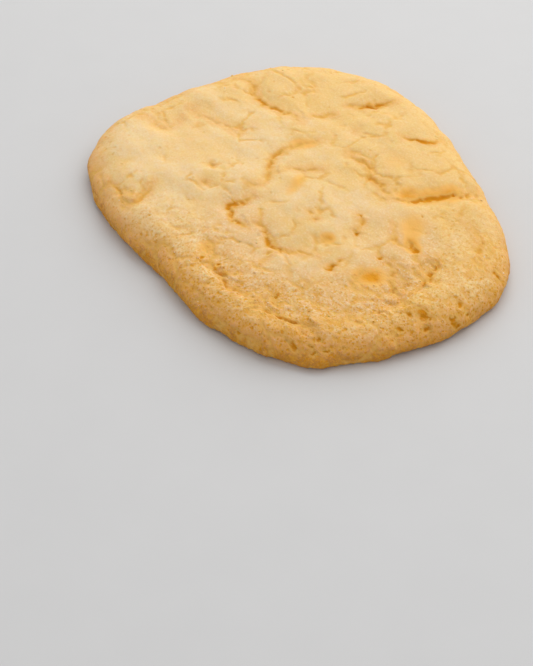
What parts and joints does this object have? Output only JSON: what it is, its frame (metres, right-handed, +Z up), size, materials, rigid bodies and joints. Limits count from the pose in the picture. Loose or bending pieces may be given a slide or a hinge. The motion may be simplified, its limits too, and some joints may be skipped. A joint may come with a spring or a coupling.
{
  "type": "sugar cookie",
  "caption": "Baked sugar cookie: a pale golden rounded slab with a flat base, a soft thick rim and a shallow cracked, crumbly top",
  "frame": {"origin": "centre of the bounding box on the flat base, which rests on a level surface", "axes": "+X along the cookie's longer width, +Y across it, +Z up out of the cracked top"},
  "size_m": [0.0876, 0.071, 0.0085],
  "materials": {
    "crust": "dry, matte, fine-grained baked dough, browner in cracks and at the rim"
  },
  "bodies": {
    "root": {"cookie": "crust"}
  },
  "joints": []
}
